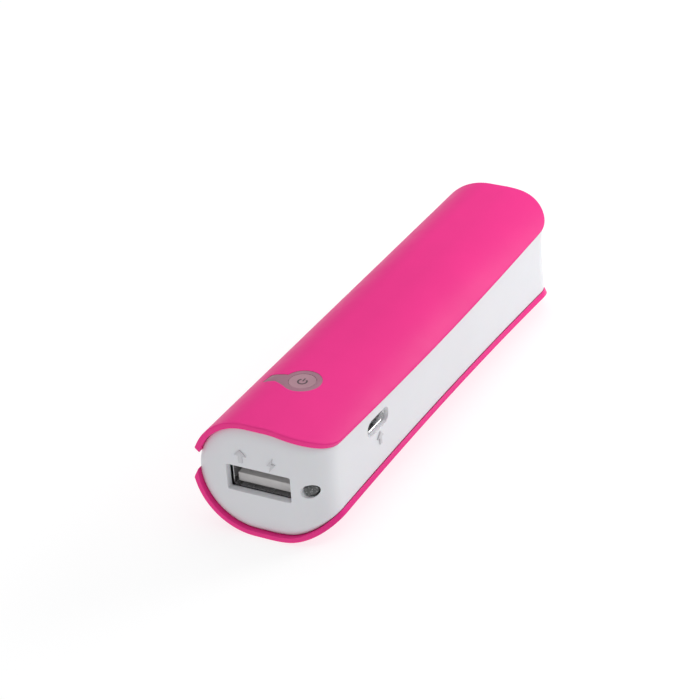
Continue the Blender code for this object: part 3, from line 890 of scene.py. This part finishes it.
def finish_of(
    name, colour, roughness, metallic=0.0, tint=0.06, tint_scale=90.0, grain=0.12, grain_scale=5200.0,
    rough_spread=0.06, wear_and_edge_highlight=0.25, stretch=None, coat=0.0, specular=0.5, subsurface=0.0, speckle=None,
    painted_end_highlight=None,
):
    """A procedural finish: broad colour drift, fine grain in the bump, uneven roughness, and lighter edges,
    partly rubbed wear and partly a painted highlight.

    The colour for the ends is a painted highlight: it replaces the colour where the surface faces the front
    or the back of the object.
    """
    made = bpy.data.materials.new(name)
    made.use_nodes = True
    tree = made.node_tree
    shader = tree.nodes["Principled BSDF"]
    drift = ramp(tree, noise(tree, tint_scale, 4.0, stretch), 0.0, 1.0)
    base = blended(tree, drift, shaded(colour, 1 - tint), shaded(colour, 1 + tint))
    if speckle:
        dots = ramp(tree, noise(tree, speckle[1], 2.0), 0.0, 1.0, 0.56, 0.66)
        base = blended(tree, dots, base, speckle[0])
    # Sharp edges are lightened: rubbed wear, and on the pink covers also a painted highlight along the rims.
    if wear_and_edge_highlight:
        edge = tree.nodes.new("ShaderNodeNewGeometry").outputs["Pointiness"]
        worn_and_highlit_edges = tree.nodes.new("ShaderNodeMath")
        worn_and_highlit_edges.operation = "MULTIPLY"
        tree.links.new(ramp(tree, edge, 0.0, wear_and_edge_highlight, 0.51, 0.60), worn_and_highlit_edges.inputs[0])
        tree.links.new(ramp(tree, noise(tree, 700.0, 4.0), 0.2, 1.0), worn_and_highlit_edges.inputs[1])
        base = blended(tree, worn_and_highlit_edges.outputs[0], base, shaded(colour, 1.35))
    # Painted highlight: a lighter colour on faces that point to the front or the back of the object.
    if painted_end_highlight:
        normal = tree.nodes.new("ShaderNodeTexCoord").outputs["Normal"]
        parts = tree.nodes.new("ShaderNodeSeparateXYZ")
        tree.links.new(normal, parts.inputs[0])
        size = tree.nodes.new("ShaderNodeMath")
        size.operation = "ABSOLUTE"
        tree.links.new(parts.outputs["Y"], size.inputs[0])
        base = blended(tree, ramp(tree, size.outputs[0], 0.0, 1.0, 0.3, 0.9), base, painted_end_highlight)
    tree.links.new(base, shader.inputs["Base Color"])
    uneven = noise(tree, tint_scale * 6, 5.0, stretch)
    rough = ramp(tree, uneven, roughness - rough_spread, roughness + rough_spread)
    tree.links.new(rough, shader.inputs["Roughness"])
    bump = tree.nodes.new("ShaderNodeBump")
    bump.inputs["Strength"].default_value = grain
    bump.inputs["Distance"].default_value = 0.00004
    tree.links.new(noise(tree, grain_scale, 3.0, stretch), bump.inputs["Height"])
    tree.links.new(bump.outputs["Normal"], shader.inputs["Normal"])
    shader.inputs["Metallic"].default_value = metallic
    shader.inputs["Coat Weight"].default_value = coat
    shader.inputs["Specular IOR Level"].default_value = specular
    shader.inputs["Subsurface Weight"].default_value = subsurface
    shader.inputs["Subsurface Scale"].default_value = 0.0006
    return made


def make_finishes():
    """One finish for each material slot of the record."""
    lengthwise = (1.0, 0.12, 1.0)
    return {
        # The pink paints highlights: a lighter colour on its front and back rims, and lighter sharp edges on
        # top of rubbed wear.
        "pink_cover": finish_of(
            "satin_pink", (0.88, 0.038, 0.270), 0.40, tint=0.025, tint_scale=60.0, grain=0.10,
            rough_spread=0.04, wear_and_edge_highlight=0.3, painted_end_highlight=(1.0, 0.055, 0.31), specular=0.08,
        ),
        "white_housing": finish_of(
            "satin_white", (0.81, 0.815, 0.845), 0.42, tint=0.012, tint_scale=70.0, grain=0.12, wear_and_edge_highlight=0.1,
            subsurface=0.06,
        ),
        "smoked_plastic": finish_of(
            "smoked_plastic", (0.36, 0.165, 0.225), 0.34, tint=0.05, tint_scale=250.0, grain=0.03, wear_and_edge_highlight=0.1,
            rough_spread=0.03,
        ),
        "button_plastic": finish_of(
            "button_plastic", (0.44, 0.235, 0.285), 0.36, tint=0.05, tint_scale=300.0, grain=0.04, wear_and_edge_highlight=0.15,
            rough_spread=0.03,
        ),
        "board_laminate": finish_of(
            "solder_mask", (0.010, 0.07, 0.035), 0.35, tint=0.2, tint_scale=900.0, grain=0.2, coat=0.3,
        ),
        "plated_steel": finish_of(
            "plated_steel", (0.66, 0.66, 0.67), 0.26, 1.0, tint=0.08, grain=0.10, rough_spread=0.08,
            stretch=lengthwise,
        ),
        "nickel_strip": finish_of(
            "nickel_strip", (0.70, 0.67, 0.61), 0.30, 1.0, tint=0.08, grain=0.15, stretch=lengthwise,
        ),
        "contact_plating": finish_of(
            "gold_plating", (0.88, 0.62, 0.25), 0.24, 1.0, tint=0.06, tint_scale=800.0, grain=0.08,
            stretch=lengthwise,
        ),
        "moulded_mark": finish_of(
            "moulded_mark", (0.62, 0.62, 0.645), 0.45, tint=0.03, tint_scale=900.0, grain=0.12, wear_and_edge_highlight=0.2,
        ),
        "symbol_print": finish_of("symbol_print", (0.085, 0.055, 0.065), 0.5, tint=0.2, tint_scale=1500.0),
        "black_plastic": finish_of("black_plastic", (0.022, 0.022, 0.024), 0.48, tint=0.15, grain=0.3),
        "grey_plastic": finish_of(
            "grey_plastic", (0.70, 0.68, 0.67), 0.45, tint=0.06, tint_scale=900.0, grain=0.2,
            stretch=(0.3, 1, 1),
        ),
        "ivory_plastic": finish_of("ivory_plastic", (0.76, 0.73, 0.66), 0.45, tint=0.05, grain=0.25),
        "cell_wrap_film": finish_of(
            "shrink_film", (0.03, 0.17, 0.38), 0.28, tint=0.10, tint_scale=200.0, grain=0.10,
            grain_scale=1500.0, coat=0.4,
        ),
        "electrode_roll": finish_of(
            "wound_foil", (0.40, 0.24, 0.16), 0.5, 0.6, tint=0.25, tint_scale=900.0, grain=0.4,
        ),
        "ceramic_brown": finish_of(
            "ceramic", (0.40, 0.27, 0.17), 0.45, tint=0.10, tint_scale=1500.0, grain=0.35,
        ),
        "ferrite_grey": finish_of(
            "ferrite", (0.065, 0.065, 0.072), 0.62, tint=0.25, tint_scale=1500.0, grain=0.6,
        ),
        "red_insulation": finish_of("red_insulation", (0.58, 0.02, 0.02), 0.4, tint=0.08, grain=0.15),
        "black_insulation": finish_of("black_insulation", (0.03, 0.03, 0.03), 0.4, tint=0.15, grain=0.15),
        "foam": finish_of(
            "foam", (0.09, 0.09, 0.10), 0.9, tint=0.3, tint_scale=2500.0, grain=1.0, grain_scale=2500.0,
        ),
        "led_epoxy": finish_of(
            "led_epoxy", (0.085, 0.088, 0.088), 0.30, tint=0.3, tint_scale=1500.0, grain=0.1,
            speckle=((0.30, 0.31, 0.31), 2600.0),
        ),
    }


# ---------------------------------------------------------------- studio

CAMERA_AIM = Vector((-6.97, -2.60, 12.11)) * MM
CAMERA_DISTANCE = 524.09 * MM
CAMERA_AZIMUTH, CAMERA_ELEVATION, CAMERA_ROLL = 30.14, 30.01, 4.22
CAMERA_LENS = 137.47

WORLD_STRENGTH = 0.34
FLOOR_GREY = 0.28
FLOOR_GLOW = 0.765
# name, place, aim, size, watts
LIGHTS = (
    ("overhead", (-0.15, 0.35, 1.5), (0, 0.05, 0), (2.2, 2.2), 17.0),
    ("rear_softbox", (0.325, 0.61, 0.40), (0, 0, 0.01), (0.34, 0.26), 0.85),
    ("right_softbox", (0.17, 0.21, 0.14), (0, 0.05, 0.01), (0.12, 0.10), 0.28),
)


def make_camera():
    azimuth, elevation = math.radians(CAMERA_AZIMUTH), math.radians(CAMERA_ELEVATION)
    back = Vector(
        (
            math.sin(azimuth) * math.cos(elevation),
            -math.cos(azimuth) * math.cos(elevation),
            math.sin(elevation),
        )
    )
    data = bpy.data.cameras.new("camera")
    data.lens = CAMERA_LENS
    data.sensor_width = 36.0
    data.clip_start, data.clip_end = 0.01, 20.0
    camera = bpy.data.objects.new("camera", data)
    bpy.context.scene.collection.objects.link(camera)
    camera.location = CAMERA_AIM + back * CAMERA_DISTANCE
    roll = Quaternion((0, 0, 1), math.radians(-CAMERA_ROLL))
    camera.rotation_mode = "QUATERNION"
    camera.rotation_quaternion = (-back).to_track_quat("-Z", "Y") @ roll
    bpy.context.scene.camera = camera


def area_light(name, place, aim, size, power):
    data = bpy.data.lights.new(name, "AREA")
    data.shape = "RECTANGLE"
    data.size, data.size_y = size
    data.energy = power
    light = bpy.data.objects.new(name, data)
    light.location = place
    light.rotation_mode = "QUATERNION"
    light.rotation_quaternion = (Vector(aim) - Vector(place)).to_track_quat("-Z", "Y")
    bpy.context.scene.collection.objects.link(light)


def make_studio():
    scene = bpy.context.scene
    scene.view_settings.view_transform = "Standard"
    world = bpy.data.worlds.new("studio")
    scene.world = world
    world.use_nodes = True
    background = world.node_tree.nodes["Background"]
    background.inputs["Color"].default_value = (0.97, 0.98, 1.0, 1.0)
    background.inputs["Strength"].default_value = WORLD_STRENGTH
    floor_mesh = bpy.data.meshes.new("floor")
    half = 4.0
    corners = [(-half, -half, 0), (half, -half, 0), (half, half, 0), (-half, half, 0)]
    floor_mesh.from_pydata(corners, [], [(0, 1, 2, 3)])
    floor = bpy.data.objects.new("floor", floor_mesh)
    scene.collection.objects.link(floor)
    floor_finish = bpy.data.materials.new("floor")
    floor_finish.use_nodes = True
    shader = floor_finish.node_tree.nodes["Principled BSDF"]
    shader.inputs["Base Color"].default_value = (FLOOR_GREY, FLOOR_GREY, FLOOR_GREY, 1.0)
    shader.inputs["Roughness"].default_value = 0.9
    shader.inputs["Specular IOR Level"].default_value = 0.1
    shader.inputs["Emission Color"].default_value = (1.0, 1.0, 1.0, 1.0)
    shader.inputs["Emission Strength"].default_value = FLOOR_GLOW
    floor_mesh.materials.append(floor_finish)
    for light in LIGHTS:
        area_light(*light)


# ---------------------------------------------------------------- assembly


def dress(obj, finish, body_name):
    obj.data.materials.clear()
    obj.data.materials.append(finish)
    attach(obj, body_name)


make_camera()
make_studio()
FINISHES = make_finishes()

for node, obj in NODES.items():
    for slot in obj.material_slots:
        slot.material = FINISHES[SLOT_OF[node]]

housing = make_housing()
top_cover, bottom_cover = make_covers()
window = make_window()
button = make_button()
symbol = make_power_symbol()
usb_a = make_usb_a()
micro_usb = make_micro_usb()
front_led = make_front_led()
marks = make_marks()

for obj, slot in (
    (housing, "white_housing"),
    (top_cover, "pink_cover"),
    (bottom_cover, "pink_cover"),
    (window, "smoked_plastic"),
    (usb_a, "plated_steel"),
    (micro_usb, "plated_steel"),
    (front_led, "led_epoxy"),
):
    dress(obj, FINISHES[slot], "housing")
for node, width in FINE_EDGES.items():
    rides_on = "switch_plunger" if node == "switch_stem" else "housing"
    dress(make_fine(node, width), FINISHES[SLOT_OF[node]], rides_on)
for node, slot in SLOT_OF.items():
    if "_contact_" in node:
        strip = make_contact(node, "Y" if node.startswith("usb_a") else "X")
        dress(strip, FINISHES[slot], "housing")
for node in ("charger_chip", "boost_chip"):
    dress(make_pins(node), FINISHES["plated_steel"], "housing")
for node in ("capacitor_1", "capacitor_2", "capacitor_3"):
    dress(make_end_caps(node), FINISHES["plated_steel"], "housing")
for mark in marks:
    dress(mark, FINISHES["moulded_mark"], "housing")
dress(button, FINISHES["button_plastic"], "button")
for obj in symbol:
    dress(obj, FINISHES["symbol_print"], "button")
